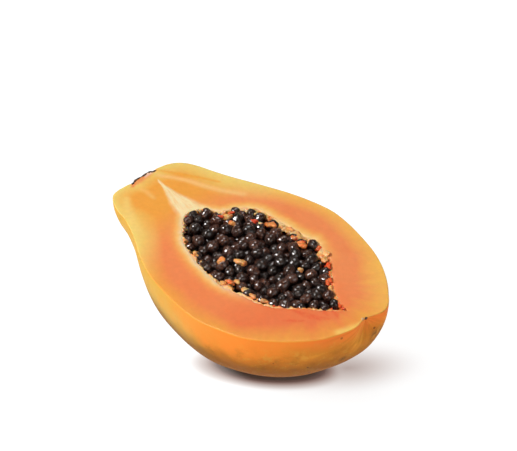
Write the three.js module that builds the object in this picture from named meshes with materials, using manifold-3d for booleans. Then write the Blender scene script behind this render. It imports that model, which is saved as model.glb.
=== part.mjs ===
// Half a ripe papaya, cut lengthwise through its stem and blossom ends. It lies on its skin with the
// cut face up and level, and the cavity in that face is heaped with its round seeds.
// Millimetres. X runs from the stem end to the blossom end, Y across the cut face, and Z up.
// The origin is the middle of the small flat spot that the fruit rests on.

import Module from "manifold-3d";
import * as THREE from "three";
import { mergeVertices } from "three/addons/utils/BufferGeometryUtils.js";

// ---- Driving dimensions ----

// Each station of a lengthwise outline is
// [distance from the stem end, middle line's shift in Y, half width, depth below the cut face].
const fruit = {
  stations: [
    [-0.2, 0.2, 0, 0],
    [-0.2, 0.2, 5.5, 5.2],
    [0.9, 0.2, 7.8, 7],
    [0, 0.2, 9.6, 8.4],
    [0, 0.2, 13.5, 11],
    [0.6, 0.2, 18, 14],
    [2.6, 0.3, 22.2, 17.6],
    [7, 0.4, 25.8, 20.2],
    [14, 0.2, 28.9, 23.2],
    [24, 0.3, 31.4, 28.6],
    [36, -0.2, 35.7, 36.8],
    [50, -1.3, 42.1, 46],
    [65, -2, 47.9, 52.4],
    [80, -2, 51.4, 54.6],
    [94, -2.4, 53, 54],
    [107, -3.6, 52.1, 51.6],
    [120, -4, 48.5, 48],
    [132, -4, 43.7, 43.4],
    [142, -3.2, 36.9, 38.2],
    [150, -2.2, 29.6, 31.6],
    [156, -1, 22.2, 25.6],
    [160.4, 0.4, 14.4, 19.4],
    [161.7, 0.8, 8.6, 12.6],
    [160.6, 0.8, 3.6, 5.4],
    [159.6, 0.8, 0, 0],
  ],
  squareness: 2.3, // the power of the section's curve: 2 makes an ellipse, more makes it squarer
  lean: { stem: -0.12, blossom: 0.15, within: 22 }, // X shift for each mm across, where the end is this narrow
  ridgeHeight: 0.012, // of the half width, on each of the five faint lengthwise ridges
  rows: 54,
  sides: 68,
};

const cavity = {
  stations: [
    [42.4, -3.2, 0, 0],
    [43.8, -3.1, 4.6, 5],
    [48, -3.7, 8.6, 10],
    [54, -4.1, 13.6, 16.5],
    [58, -1.8, 19, 21],
    [64, -0.4, 23.4, 24.6],
    [75, -1.6, 25.8, 27.8],
    [86, -2.6, 27, 29.4],
    [96, -3.4, 27.4, 29.6],
    [103, -2, 27.8, 29],
    [112, -2.9, 25.4, 26.6],
    [120, -3.6, 22.8, 22.8],
    [128, -5, 16.7, 17],
    [136, -5, 9.4, 10.6],
    [143, -4.2, 4.6, 5.4],
    [150.2, -1.9, 0, 0],
  ],
  squareness: 2.5,
  lean: { stem: 0, blossom: 0, within: 22 },
  ridgeHeight: 0.03,
  rows: 36,
  sides: 40,
};

const ridgeCount = 5;

const rest = { fromStem: 83.6, aside: -2.1, cutDepth: 0.2 };

const seed = {
  halfLength: 3.35,
  halfWidth: 2.8,
  halfHeight: 2.65,
  sizeSpread: 0.2,
  endSize: 0.66, // seeds shrink towards this share of the size at the cavity's narrow ends
  endReach: 26,
  pitch: 5.25, // between neighbours along a row, before they push each other apart
  jitter: 1.6,
  rowShift: 0.25, // of the pitch, one way in even rows and the other way in odd ones
  rowTrim: 0.35, // how much of a seed must fit for a row to take one more
  passes: 60,
  crowded: 0.86, // how near, as a share of touching, leaves a seed out
  wallGap: 0.2, // from a seed's side to the cavity wall
  tailReach: 1.7, // how many of that reach the last seed keeps from the cavity's blossom end
  below: 1.5, // the middle of an average seed, below the cut face
  lift: { spread: 1.5, lowest: -2.4 },
  rooted: 0.8, // a seed rises until only this share of its half height reaches down to the bed
  edgeDrop: 0.3, // how much lower the seeds lie at the cavity wall than in the middle
  tiltSpread: 0.7,
  sides: 6,
  bands: 4,
  firstDraw: 20,
};

const seedBed = { clearance: 0.4, below: 2.5, rows: 22, sides: 24 };

const farOff = 200; // beyond the whole fruit, for the blocks that cut it
const mergeWithin = 1e-3; // vertices this near each other are one
const almostZero = 1e-6; // keeps a division from failing where two seeds start in one place

// The cut face is as high as the fruit is deep, less the sliver that the flat spot takes off.
const cutHeight = Math.max(...fruit.stations.map((station) => station[3])) - rest.cutDepth;

// ---- Solids ----

const wasm = await Module();
wasm.setup();

function toManifold(geometry) {
  const bare = geometry.clone();
  bare.deleteAttribute("normal");
  bare.deleteAttribute("uv");
  const merged = mergeVertices(bare, mergeWithin);
  const vertProperties = new Float32Array(merged.attributes.position.array);
  const triVerts = new Uint32Array(merged.index.array);
  return new wasm.Manifold(new wasm.Mesh({ numProp: 3, vertProperties, triVerts }));
}

function toGeometry(solid) {
  const { vertProperties, triVerts } = solid.getMesh();
  const geometry = new THREE.BufferGeometry();
  geometry.setAttribute("position", new THREE.BufferAttribute(new Float32Array(vertProperties), 3));
  geometry.setIndex(new THREE.BufferAttribute(new Uint32Array(triVerts), 1));
  geometry.computeVertexNormals();
  return geometry;
}

function block(low, high) {
  const size = high.map((value, axis) => value - low[axis]);
  const box = new THREE.BoxGeometry(...size);
  box.translate(...high.map((value, axis) => (value + low[axis]) / 2));
  return toManifold(box);
}

// A closed shape whose sections across X are rounded squares, made by stretching a ball so that its
// poles are the two ends of the outline. inset moves the whole surface inwards.
function swellingShape(outline, { inset = 0, rows = outline.rows, sides = outline.sides } = {}) {
  const widths = smoothCurve(outline.stations.map(([x, aside, halfWidth]) => [x, aside, halfWidth]));
  const depths = smoothCurve(outline.stations.map(([x, , , depth]) => [x, 0, depth]));
  const ball = new THREE.SphereGeometry(1, sides, rows);
  const { position, uv } = ball.attributes;
  const middle = (outline.stations[0][0] + outline.stations.at(-1)[0]) / 2;
  const shorten = 1 - inset / Math.abs(middle - outline.stations[0][0]);
  for (let i = 0; i < position.count; i += 1) {
    const { x: fromStem, y: aside, z: halfWidth } = widths.getPoint(uv.getY(i));
    const depth = Math.max(depths.getPoint(uv.getY(i)).z - inset, 0);
    const turn = uv.getX(i) * 2 * Math.PI;
    const across = Math.sin(turn);
    const up = -Math.cos(turn);
    const shrink =
      (Math.abs(across) ** outline.squareness + Math.abs(up) ** outline.squareness) **
      (-1 / outline.squareness);
    const swell = shrink * (1 + outline.ridgeHeight * Math.cos(ridgeCount * turn));
    const y = Math.max(halfWidth - inset, 0) * swell * across;
    const { stem, blossom, within } = outline.lean;
    const lean = y * (fromStem < middle ? stem : blossom) * Math.max(1 - halfWidth / within, 0);
    position.setXYZ(
      i,
      middle + (fromStem + lean - middle) * shorten - rest.fromStem,
      aside + y - rest.aside,
      cutHeight + depth * swell * up,
    );
  }
  return toManifold(ball);
}

function smoothCurve(points) {
  return new THREE.CatmullRomCurve3(points.map((point) => new THREE.Vector3(...point)));
}

// The skin and flesh are one solid: the whole fruit less its cavity, its upper half and the sliver
// under the flat spot.
function fruitHalf() {
  const upperHalf = block([-farOff, -farOff, cutHeight], [farOff, farOff, farOff]);
  const sliver = block([-farOff, -farOff, -farOff], [farOff, farOff, 0]);
  return swellingShape(fruit).subtract(swellingShape(cavity)).subtract(upperHalf).subtract(sliver);
}

// ---- Seeds ----

// The same draws between 0 and 1 every time.
function seededDraws(start) {
  let state = start;
  return () => {
    state = (1664525 * state + 1013904223) % 4294967296;
    return state / 4294967296;
  };
}

// The cavity's middle line and half width at a distance from the stem end, straight between stations.
function cavityAt(fromStem) {
  const { stations } = cavity;
  let i = 0;
  while (i < stations.length - 2 && stations[i + 1][0] <= fromStem) i += 1;
  const [x0, middle0, half0] = stations[i];
  const [x1, middle1, half1] = stations[i + 1];
  const share = Math.min(Math.max((fromStem - x0) / (x1 - x0), 0), 1);
  return { middle: middle0 + (middle1 - middle0) * share, half: half0 + (half1 - half0) * share };
}

function keepInside(one) {
  const reach = one.size * seed.halfWidth + seed.wallGap;
  const firstX = cavity.stations[0][0] + reach;
  const lastX = cavity.stations.at(-1)[0] - reach * seed.tailReach;
  one.x = Math.min(Math.max(one.x, firstX), lastX);
  const { middle, half } = cavityAt(one.x);
  const room = Math.max(half - reach, 0);
  one.y = Math.min(Math.max(one.y, middle - room), middle + room);
  const highest = seed.below - seedBed.below + one.size * seed.halfHeight * seed.rooted;
  one.lift = Math.min(Math.max(one.lift, seed.lift.lowest), highest);
}

// How near two seeds lie: 1 where their sides just touch.
function nearness(one, other) {
  const apart = Math.hypot(other.x - one.x, other.y - one.y, other.lift - one.lift);
  return apart / ((one.size + other.size) * seed.halfWidth);
}

function pushApart(seeds) {
  for (let i = 0; i < seeds.length; i += 1) {
    for (let j = i + 1; j < seeds.length; j += 1) {
      const near = nearness(seeds[i], seeds[j]) + almostZero;
      const push = Math.max(1 - near, 0) / 2 / near;
      for (const axis of ["x", "y", "lift"]) {
        const step = (seeds[j][axis] - seeds[i][axis]) * push;
        seeds[i][axis] -= step;
        seeds[j][axis] += step;
      }
    }
  }
}

// Seeds start on a loose honeycomb over the cavity and push each other apart, sideways, up and down,
// until they lie as a heap. Where there is too little room for them all, the crowded ones are left out.
function seedPlaces() {
  const draw = seededDraws(seed.firstDraw);
  const spread = () => 2 * draw() - 1;
  const seeds = [];
  const rowPitch = seed.pitch * Math.sqrt(0.75);
  const rows = Math.floor((cavity.stations.at(-1)[0] - cavity.stations[0][0]) / rowPitch);
  for (let row = 0; row < rows; row += 1) {
    const x = cavity.stations[0][0] + (row + 0.5) * rowPitch;
    const { middle, half } = cavityAt(x);
    const count = Math.max(Math.round((2 * half) / seed.pitch - seed.rowTrim), 1);
    const shift = row % 2 ? seed.rowShift : -seed.rowShift;
    for (let i = 0; i < count; i += 1) {
      seeds.push({
        x: x + spread() * seed.jitter,
        y: middle + (i - (count - 1) / 2 + shift) * seed.pitch + spread() * seed.jitter,
        size: (1 + spread() * seed.sizeSpread) * Math.min(1, seed.endSize + half / seed.endReach),
        lift: spread() * seed.lift.spread,
        heading: draw() * Math.PI,
        tilt: spread() * seed.tiltSpread,
      });
    }
  }
  for (let pass = 0; pass < seed.passes; pass += 1) {
    pushApart(seeds);
    seeds.forEach(keepInside);
  }
  return seeds.filter((one, i) => seeds.slice(0, i).every((other) => nearness(one, other) > seed.crowded));
}

function seedSolid({ x, y, size, lift, heading, tilt }) {
  const { middle, half } = cavityAt(x);
  const edge = Math.min(Math.abs(y - middle) / Math.max(half, 1), 1);
  const ball = new THREE.SphereGeometry(1, seed.sides, seed.bands);
  const place = new THREE.Matrix4().compose(
    new THREE.Vector3(
      x - rest.fromStem,
      y - rest.aside,
      cutHeight - seed.below + lift - seed.edgeDrop * edge ** 3,
    ),
    new THREE.Quaternion().setFromEuler(new THREE.Euler(0, tilt, heading, "ZYX")),
    new THREE.Vector3(seed.halfLength, seed.halfWidth, seed.halfHeight).multiplyScalar(size),
  );
  return toManifold(ball.applyMatrix4(place));
}

// The seeds stand out of a bed that fills the cavity under them, and all of it keeps clear of the flesh.
function seedHeap() {
  const room = swellingShape(cavity, { inset: seedBed.clearance, rows: seedBed.rows, sides: seedBed.sides });
  const above = block([-farOff, -farOff, cutHeight - seedBed.below], [farOff, farOff, farOff]);
  const bed = room.subtract(above);
  const seeds = wasm.Manifold.union(seedPlaces().map(seedSolid));
  return bed.add(seeds.intersect(room));
}

// ---- Assembly ----

function finished(name, solid, color, roughness) {
  const material = new THREE.MeshStandardMaterial({ color, roughness, metalness: 0 });
  const mesh = new THREE.Mesh(toGeometry(solid), material);
  mesh.name = name;
  return mesh;
}

const papayaHalf = new THREE.Group();
papayaHalf.add(finished("fruit_half", fruitHalf(), 0xf0a050, 0.45));
papayaHalf.add(finished("seeds", seedHeap(), 0x251a15, 0.3));

export default papayaHalf;
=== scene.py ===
import math

import bmesh
import bpy
from mathutils import Euler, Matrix, Vector, kdtree, noise


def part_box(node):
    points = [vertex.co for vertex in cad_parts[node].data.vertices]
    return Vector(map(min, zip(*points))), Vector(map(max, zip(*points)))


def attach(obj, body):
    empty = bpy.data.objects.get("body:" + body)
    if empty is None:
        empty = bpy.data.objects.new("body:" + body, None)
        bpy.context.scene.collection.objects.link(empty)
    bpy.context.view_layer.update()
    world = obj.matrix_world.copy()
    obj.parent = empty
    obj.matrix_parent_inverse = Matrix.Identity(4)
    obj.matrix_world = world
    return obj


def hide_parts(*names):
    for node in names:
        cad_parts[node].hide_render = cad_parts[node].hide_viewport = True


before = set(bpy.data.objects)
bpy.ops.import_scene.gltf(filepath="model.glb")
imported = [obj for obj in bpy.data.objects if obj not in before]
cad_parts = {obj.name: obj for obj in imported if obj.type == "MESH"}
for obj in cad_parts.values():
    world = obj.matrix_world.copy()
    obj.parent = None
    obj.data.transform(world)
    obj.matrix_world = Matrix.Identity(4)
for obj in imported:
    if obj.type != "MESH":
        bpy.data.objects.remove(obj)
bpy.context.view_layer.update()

mm = 0.001
meetWithin = 1e-7  # points nearer than this, in metres, become one
scene = bpy.context.scene
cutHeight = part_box("fruit_half")[1].z  # the cut face is level, and the fruit's own top

# Places on the fruit are given in mm as distance from the stem end, shift aside and height above the cut.
restSpot = {"fromStem": 83.6, "aside": -2.1}


def place(fromStem, aside, above=0.0):
    x = (fromStem - restSpot["fromStem"]) * mm
    y = (aside - restSpot["aside"]) * mm
    return Vector((x, y, cutHeight + above * mm))


def whereOnFruit(point):
    x, y = point.x / mm + restSpot["fromStem"], point.y / mm + restSpot["aside"]
    return x, y, (point.z - cutHeight) / mm


def smoothStep(low, high, value):
    share = min(max((value - low) / (high - low), 0.0), 1.0)
    return share * share * (3 - 2 * share)


def blendOf(a, b, share):
    return a + (b - a) * share


# Smooth noise about 0 at a point in metres. Its hills have the given size in mm.
def hills(point, size, shift=(0, 0, 0)):
    return noise.noise(point / (size * mm) + Vector(shift))


# The same draws between 0 and 1 every time.
def seededDraws(start):
    state = start
    while True:
        state = (1664525 * state + 1013904223) % 4294967296
        yield state / 4294967296


def between(draws, low, high):
    return blendOf(low, high, next(draws))


def eitherWay(draws, reach=1.0):
    return (2 * next(draws) - 1) * reach


# Outlines of the fruit and of its cavity. Each station is distance from the stem end, the middle line's
# shift aside, half width and depth below the cut.
fruit = {
    "stations": [
        (-0.2, 0.2, 0, 0), (-0.2, 0.2, 5.5, 5.2), (0.9, 0.2, 7.8, 7), (0, 0.2, 9.6, 8.4),
        (0, 0.2, 13.5, 11), (0.6, 0.2, 18, 14), (2.6, 0.3, 22.2, 17.6), (7, 0.4, 25.8, 20.2),
        (14, 0.2, 28.9, 23.2), (24, 0.3, 31.4, 28.6), (36, -0.2, 35.7, 36.8), (50, -1.3, 42.1, 46),
        (65, -2, 47.9, 52.4), (80, -2, 51.4, 54.6), (94, -2.4, 53, 54), (107, -3.6, 52.1, 51.6),
        (120, -4, 48.5, 48), (132, -4, 43.7, 43.4), (142, -3.2, 36.9, 38.2), (150, -2.2, 29.6, 31.6),
        (156, -1, 22.2, 25.6), (160.4, 0.4, 14.4, 19.4), (161.7, 0.8, 8.6, 12.6), (160.6, 0.8, 3.6, 5.4),
        (159.6, 0.8, 0, 0),
    ],
    "squareness": 2.3, "ridgeHeight": 0.012,
    "stemLean": -0.12, "blossomLean": 0.15, "leanWithin": 22,
}
cavity = {
    "stations": [
        (42.4, -3.2, 0, 0), (43.8, -3.1, 4.6, 5), (48, -3.7, 8.6, 10), (54, -4.1, 13.6, 16.5),
        (58, -1.8, 19, 21), (64, -0.4, 23.4, 24.6), (75, -1.6, 25.8, 27.8), (86, -2.6, 27, 29.4),
        (96, -3.4, 27.4, 29.6), (103, -2, 27.8, 29), (112, -2.9, 25.4, 26.6), (120, -3.6, 22.8, 22.8),
        (128, -5, 16.7, 17), (136, -5, 9.4, 10.6), (143, -4.2, 4.6, 5.4), (150.2, -1.9, 0, 0),
    ],
    "squareness": 2.5, "ridgeHeight": 0.03,
    "stemLean": 0, "blossomLean": 0, "leanWithin": 22,
}
ridgeCount = 5


# A centripetal curve through the points, which doesn't loop where they are uneven.
def curveThrough(points, steps=40):
    path = []
    for here, there, i in zip(points, points[1:], range(len(points))):
        before = points[i - 1] if i else here * 2 - there
        after = points[i + 2] if i + 2 < len(points) else there * 2 - here
        ahead, middle, behind = [(b - a).length ** 0.5 for a, b in
                                 ((before, here), (here, there), (there, after))]
        leave = ((here - before) / ahead - (there - before) / (ahead + middle)) * middle + there - here
        reach = ((after - there) / behind - (after - here) / (middle + behind)) * middle + there - here
        for step in range(steps):
            t = step / steps
            path.append(here + leave * t + ((there - here) * 3 - leave * 2 - reach) * t ** 2
                        + ((here - there) * 2 + leave + reach) * t ** 3)
    return path + [points[-1]]


# Rows evenly spaced along the rim, each as (from stem, aside, half width, depth).
def evenRows(outline, count):
    widths = curveThrough([Vector(station[:3]) for station in outline["stations"]])
    depths = curveThrough([Vector((station[0], 0, station[3])) for station in outline["stations"]])
    run = [0.0]
    for here, there in zip(widths, widths[1:]):
        run.append(run[-1] + math.hypot(there.x - here.x, there.z - here.z))
    rows, i = [], 0
    for row in range(count + 1):
        goal = run[-1] * row / count
        while i < len(run) - 2 and run[i + 1] < goal:
            i += 1
        share = min((goal - run[i]) / (run[i + 1] - run[i]), 1)
        width = widths[i].lerp(widths[i + 1], share)
        depth = depths[i].lerp(depths[i + 1], share)
        rows.append((width.x, width.y, max(width.z, 0), max(depth.z, 0)))
    return rows


# A point of the outline's round: across and up run over the unit circle, and up is 0 at the cut.
def roundPoint(outline, row, across, up, inset=0.0):
    fromStem, aside, halfWidth, depth = row
    power = outline["squareness"]
    shrink = (abs(across) ** power + abs(up) ** power) ** (-1 / power)
    swell = shrink * (1 + outline["ridgeHeight"] * math.cos(ridgeCount * math.atan2(across, -up)))
    y = max(halfWidth - inset, 0) * swell * across
    ends = outline["stations"][0][0], outline["stations"][-1][0]
    lean = outline["stemLean" if fromStem < sum(ends) / 2 else "blossomLean"]
    lean *= y * max(1 - halfWidth / outline["leanWithin"], 0)
    return place(fromStem + lean, aside + y, max(depth - inset, 0) * swell * up)


# A vertex of a unit ball as its row along the fruit, and its place on that row's unit circle.
def placeOnBall(vert, rows):
    row = round(math.acos(max(min(-vert.co.z, 1), -1)) / math.pi * rows)
    across, up = vert.co.x, vert.co.y
    length = math.hypot(across, up)
    atPole = length < 1e-5
    return (row, 1.0, 0.0) if atPole else (row, across / length, up / length)


view = {
    "azimuth": 45.67, "elevation": 37.0, "distance": 0.540,
    "lens": 73.98, "sensor": 36.0, "target": place(75.6, 14.3), "clip": (0.01, 30),
}
lights = {
    "horizon": (0.17, 0.156, 0.15), "zenith": (0.04, 0.038, 0.036), "horizonReach": 0.5,
    "lookAt": (0, 0, 0.03),
    "boxes": {
        "keyBox": {"way": (-0.36, -0.74, 0.96), "distance": 2.0, "size": 0.5, "power": 40.6},
        "sideBox": {"way": (0.92, -0.12, 0.40), "distance": 2.0, "size": 1.5, "power": 8.0},
        "topBox": {"way": (-0.26, 0.32, 1.0), "distance": 2.0, "size": 0.7, "power": 8.5},
    },
}
# The floor glows though it is no lamp. Four long rounds of painted shadow change its colour and darken its
# glow around the fruit, from each one's start in its middle to 1 at its edge. Sizes are in mm.
floorLook = {
    "side": 6.0, "roughness": 0.9, "softJoin": 0.08, "glowStrength": 1.0,
    "shade": [
        {"middle": (0, 0), "half": (50, 30), "turn": 0, "start": 0.0},
        {"middle": (29.2, -11.2), "half": (42.5, 16.9), "turn": 40, "start": 0.0},
        {"middle": (57.0, 15.6), "half": (38, 17.5), "turn": 52, "start": 0.77},
        {"middle": (20.2, 10.7), "half": (37.5, 29.0), "turn": 5, "start": 0.0},
    ],
    "paper": [(0.0, (0.30, 0.30, 0.30)), (0.5, (0.28, 0.28, 0.28)), (1.0, (0.14, 0.14, 0.14))],
    "glowAndPaintedShadow": [(0.0, (0.0, 0.0, 0.0)), (0.54, (0.01, 0.006, 0.005)), (0.64, (0.09, 0.050, 0.045)),
             (0.72, (0.29, 0.21, 0.19)), (0.78, (0.44, 0.37, 0.35)), (0.85, (0.60, 0.54, 0.52)),
             (0.93, (0.80, 0.77, 0.76)), (1.0, (0.96, 0.96, 0.96))],
}


def makeCamera():
    data = bpy.data.cameras.new("camera")
    data.lens, data.sensor_width = view["lens"], view["sensor"]
    data.clip_start, data.clip_end = view["clip"]
    camera = bpy.data.objects.new("camera", data)
    turn, rise = math.radians(view["azimuth"]), math.radians(view["elevation"])
    back = Vector((math.sin(turn) * math.cos(rise), -math.cos(turn) * math.cos(rise), math.sin(rise)))
    camera.location = view["target"] + back * view["distance"]
    camera.rotation_euler = (-back).to_track_quat("-Z", "Y").to_euler()
    scene.collection.objects.link(camera)
    scene.camera = camera


def softLight(name, way, distance, size, power):
    data = bpy.data.lights.new(name, "AREA")
    data.shape, data.size, data.energy = "SQUARE", size, power
    lamp = bpy.data.objects.new(name, data)
    away = Vector(way).normalized()
    lamp.location = Vector(lights["lookAt"]) + away * distance
    lamp.rotation_euler = (-away).to_track_quat("-Z", "Y").to_euler()
    scene.collection.objects.link(lamp)


def makeLight():
    world = bpy.data.worlds.new("studio")
    world.use_nodes = True
    tree = world.node_tree
    way = addNode(tree, "ShaderNodeTexCoord", {}, "Generated")
    up = addNode(tree, "ShaderNodeSeparateXYZ", {0: way}, "Z")
    sky = mixOf(tree, rangeOf(tree, up, 0.0, lights["horizonReach"]), lights["horizon"], lights["zenith"])
    setInput(tree, tree.nodes["Background"].inputs["Color"], sky)
    scene.world = world
    scene.view_settings.view_transform = "Standard"
    for name, settings in lights["boxes"].items():
        softLight(name, **settings)


# Small makers for shader nodes. A value may be a number, a colour or another node's socket.
def newMaterial(name):
    material = bpy.data.materials.new(name)
    material.use_nodes = True
    return material, material.node_tree, material.node_tree.nodes["Principled BSDF"]


def setInput(tree, socket, value):
    if isinstance(value, bpy.types.NodeSocket):
        tree.links.new(value, socket)
    elif socket.type == "RGBA":
        socket.default_value = (*value, 1)
    else:
        socket.default_value = value


def addNode(tree, kind, inputs, output=0, **settings):
    node = tree.nodes.new(kind)
    for name, value in settings.items():
        setattr(node, name, value)
    for key, value in inputs.items():
        setInput(tree, node.inputs[key], value)
    return node.outputs[output]


def noiseOf(tree, position, size, detail=2.0, roughness=0.5, distortion=0.0):
    inputs = {"Vector": position, "Scale": 1 / size, "Detail": detail, "Roughness": roughness,
              "Distortion": distortion}
    return addNode(tree, "ShaderNodeTexNoise", inputs, "Fac")


def cellsOf(tree, position, size):
    return addNode(tree, "ShaderNodeTexVoronoi", {"Vector": position, "Scale": 1 / size}, "Distance")


def calc(tree, operation, first, second=0.0, third=0.0):
    return addNode(tree, "ShaderNodeMath", {0: first, 1: second, 2: third}, operation=operation)


waveSpan = (-0.2, 0.2)  # nearly all of a wave lies within it


# Noise about 0
def wavesOf(tree, position, *settings):
    return calc(tree, "SUBTRACT", noiseOf(tree, position, *settings), 0.5)


# Waves drawn out along rays: they change with a ray's angle, and slowly with the drift along it.
def raysOf(tree, angle, drift, *settings):
    return wavesOf(tree, addNode(tree, "ShaderNodeCombineXYZ", {0: angle, 1: drift}), *settings)


# Such rays round a point of the cut face
def raysFrom(tree, operation, fields, rays):
    middleAlong, middleAside = rays["middle"]
    run = calc(tree, "SUBTRACT", fields["along"], middleAlong)
    angle = calc(tree, operation, calc(tree, "SUBTRACT", fields["aside"], middleAside), run)
    return raysOf(tree, angle, calc(tree, "MULTIPLY", fields["along"], rays["drift"]), *rays["wave"])


def rangeOf(tree, value, low, high, toLow=0.0, toHigh=1.0, ease="SMOOTHSTEP"):
    inputs = {"Value": value, "From Min": low, "From Max": high, "To Min": toLow, "To Max": toHigh}
    return addNode(tree, "ShaderNodeMapRange", inputs, interpolation_type=ease)


def mixOf(tree, share, first, second, blend="MIX"):
    inputs = {0: share, 6: first, 7: second}
    return addNode(tree, "ShaderNodeMix", inputs, 2, data_type="RGBA", blend_type=blend)


def rampOf(tree, value, stops):
    node = tree.nodes.new("ShaderNodeValToRGB")
    tree.links.new(value, node.inputs[0])
    elements = node.color_ramp.elements
    while len(elements) < len(stops):
        elements.new(0.5)
    for element, (position, color) in zip(elements, stops):
        element.position, element.color = position, (*color, 1)
    return node.outputs[0]


# What a surface's colours follow, by name: its place in mm, its vertices' attributes, waves, spans over
# which one of these fades in, and sums of them, each with its weight.
def fieldsOf(tree, look):
    position = addNode(tree, "ShaderNodeTexCoord", {}, "Object")
    position = addNode(tree, "ShaderNodeMapping", {"Vector": position, "Scale": (1 / mm, 1 / mm, 1 / mm)})
    fields = {"position": position}
    for name, axis, shift in look.get("axes", ()):
        part = addNode(tree, "ShaderNodeSeparateXYZ", {0: position}, axis)
        fields[name] = calc(tree, "ADD", part, shift)
    for name in look.get("attributes", ()):
        fields[name] = addNode(tree, "ShaderNodeAttribute", {}, "Fac", attribute_name=name)
    for name, settings in look["waves"].items():
        fields[name] = wavesOf(tree, position, *settings)
    for name, (field, *span) in look.get("spans", {}).items():
        fields[name] = rangeOf(tree, fields[field], *span)
    for name, weights in look.get("sums", {}).items():
        total = 0.0
        for field, weight in weights.items():
            total = calc(tree, "MULTIPLY_ADD", fields[field], weight, total)
        fields[name] = total
    return fields


# A mask is an amount times some fields, each of them as it is, or eased over a span: (from, to), or
# (from, to, level at the first, level at the last).
def maskOf(tree, fields, amount, spans):
    mask = amount
    for field, span in spans.items():
        value = rangeOf(tree, fields[field], *span) if span else fields[field]
        mask = calc(tree, "MULTIPLY", value, mask)
    return mask


# Washes lay colours one over the other, each as (colour, amount, spans).
def washOver(tree, color, fields, washes, look):
    for name, amount, spans in washes:
        color = mixOf(tree, maskOf(tree, fields, amount, spans), color, look[name])
    return color


# Relief is (field, strength, height in mm), from the finest up.
def reliefOf(tree, fields, relief):
    normal = None
    for field, strength, height in relief:
        inputs = {"Height": fields[field], "Strength": strength, "Distance": height * mm}
        if normal is not None:
            inputs["Normal"] = normal
        normal = addNode(tree, "ShaderNodeBump", inputs)
    return normal


# Colour, relief and what is even all over. A gloss wave, where there is one, varies the roughness.
def finishShader(tree, shader, color, fields, look):
    inputs = {"Base Color": color, "Normal": reliefOf(tree, fields, look["relief"]), **look["sockets"]}
    if "gloss" in fields:
        inputs["Roughness"] = rangeOf(tree, fields["gloss"], *waveSpan, *look["roughness"])
    for name, value in inputs.items():
        setInput(tree, shader.inputs[name], value)


def addPiece(name, bm, materials):
    bm.normal_update()
    mesh = bpy.data.meshes.new(name)
    bm.to_mesh(mesh)
    bm.free()
    mesh.polygons.foreach_set("use_smooth", [True] * len(mesh.polygons))
    for material in materials:
        mesh.materials.append(material)
    piece = bpy.data.objects.new(name, mesh)
    scene.collection.objects.link(piece)
    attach(piece, "root")
    print(f"{name}: {len(mesh.polygons)} faces", flush=True)
    return piece


# Joins what meets, and turns the faces outwards.
def closeUp(bm, reach=meetWithin):
    bmesh.ops.remove_doubles(bm, verts=bm.verts, dist=reach)
    bmesh.ops.recalc_face_normals(bm, faces=bm.faces)


def thicken(bm, thickness):
    bmesh.ops.solidify(bm, geom=bm.faces[:], thickness=thickness * mm)
    bmesh.ops.recalc_face_normals(bm, faces=bm.faces)


# How far out a point of the floor lies in a round of painted shadow
def paintedShadowAt(tree, middle, half, turn, start):
    spot = addNode(tree, "ShaderNodeTexCoord", {}, "Object")
    for change in ({"Location": (-middle[0] * mm, -middle[1] * mm, 0)},
                   {"Rotation": (0, 0, -math.radians(turn))},
                   {"Scale": (1 / (half[0] * mm), 1 / (half[1] * mm), 1)}):
        spot = addNode(tree, "ShaderNodeMapping", {"Vector": spot, **change})
    apart = addNode(tree, "ShaderNodeVectorMath", {0: spot}, "Value", operation="LENGTH")
    return calc(tree, "MULTIPLY_ADD", apart, 1 - start, start)


def makeFloor():
    bm = bmesh.new()
    bmesh.ops.create_grid(bm, x_segments=1, y_segments=1, size=floorLook["side"] / 2)
    mesh = bpy.data.meshes.new("floor")
    bm.to_mesh(mesh)
    bm.free()
    material, tree, shader = newMaterial("paleFloorPaintedShadow")
    away = 1.0
    for shade in floorLook["shade"]:
        away = calc(tree, "SMOOTH_MIN", paintedShadowAt(tree, **shade), away, floorLook["softJoin"])
    # Painted shadow: the floor's colour and glow darken towards the middle of each round
    for name, socket in (("paper", "Base Color"), ("glowAndPaintedShadow", "Emission Color")):
        tree.links.new(rampOf(tree, away, floorLook[name]), shader.inputs[socket])
    shader.inputs["Emission Strength"].default_value = floorLook["glowStrength"]
    shader.inputs["Roughness"].default_value = floorLook["roughness"]
    mesh.materials.append(material)
    floor = bpy.data.objects.new("floor", mesh)
    scene.collection.objects.link(floor)


makeCamera()
makeLight()
makeFloor()
print("camera, light and floor ready")


# Flesh, skin and cavity wall are one closed mesh. The skin is half of a stretched ball. From its rim,
# rings of faces run over the cut face to the cavity's lip and on down the wall.
body = {
    "rows": 260, "sides": 220,
    # Rings are given as (from the rim or the lip, above the cut).
    "rimRings": [(0.0, -0.42), (0.07, -0.2), (0.22, -0.05), (0.5, 0.0)], "rimShare": 0.1,
    "faceRings": 32,
    "lipRings": [(1.3, -0.02), (0.8, -0.1), (0.45, -0.26), (0.2, -0.5), (0.03, -0.9)],
    "wallRings": 24, "wallStart": 3.5, "wallCrowd": 1.3,  # from degrees below the cut, crowded there
    "lipRag": 0.75, "lipRagSize": 1.9, "lipTuft": 0.5, "lipTuftSize": 0.8, "lipCalm": 3.0, "wallRag": 5.0,
    "faceWave": 0.07, "faceWaveSize": 7.0, "calmAtRim": (0.5, 5.0), "calmAtLip": (0.5, 4.0),
    "lumpHeight": 0.3, "lumpSize": 14.0, "calmAtTips": 12.0, "axisEnds": (14, 146),
    "creaseAngles": [(-60, 12.0), (-122, 13.0)], "creaseFrom": 140, "creaseStart": 4.0,
    "creaseDepth": 0.4, "creaseReach": 9 / 0.55, "creaseBend": 4.0, "creaseBendSize": 7.0,
    "blots": [(162.0, 7.0, -13.0, 6.5), (161.0, 9.5, -19.0, 5.0), (158.0, -12.0, -19.0, 3.0)],
    "blotCore": 0.2, "redCore": 0.25, "wallFade": (0.3, 2.0), "wallFromSkin": 7.0,
    "paintedDepth": 1.0, "levelWithin": 1e-4,
}

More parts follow.
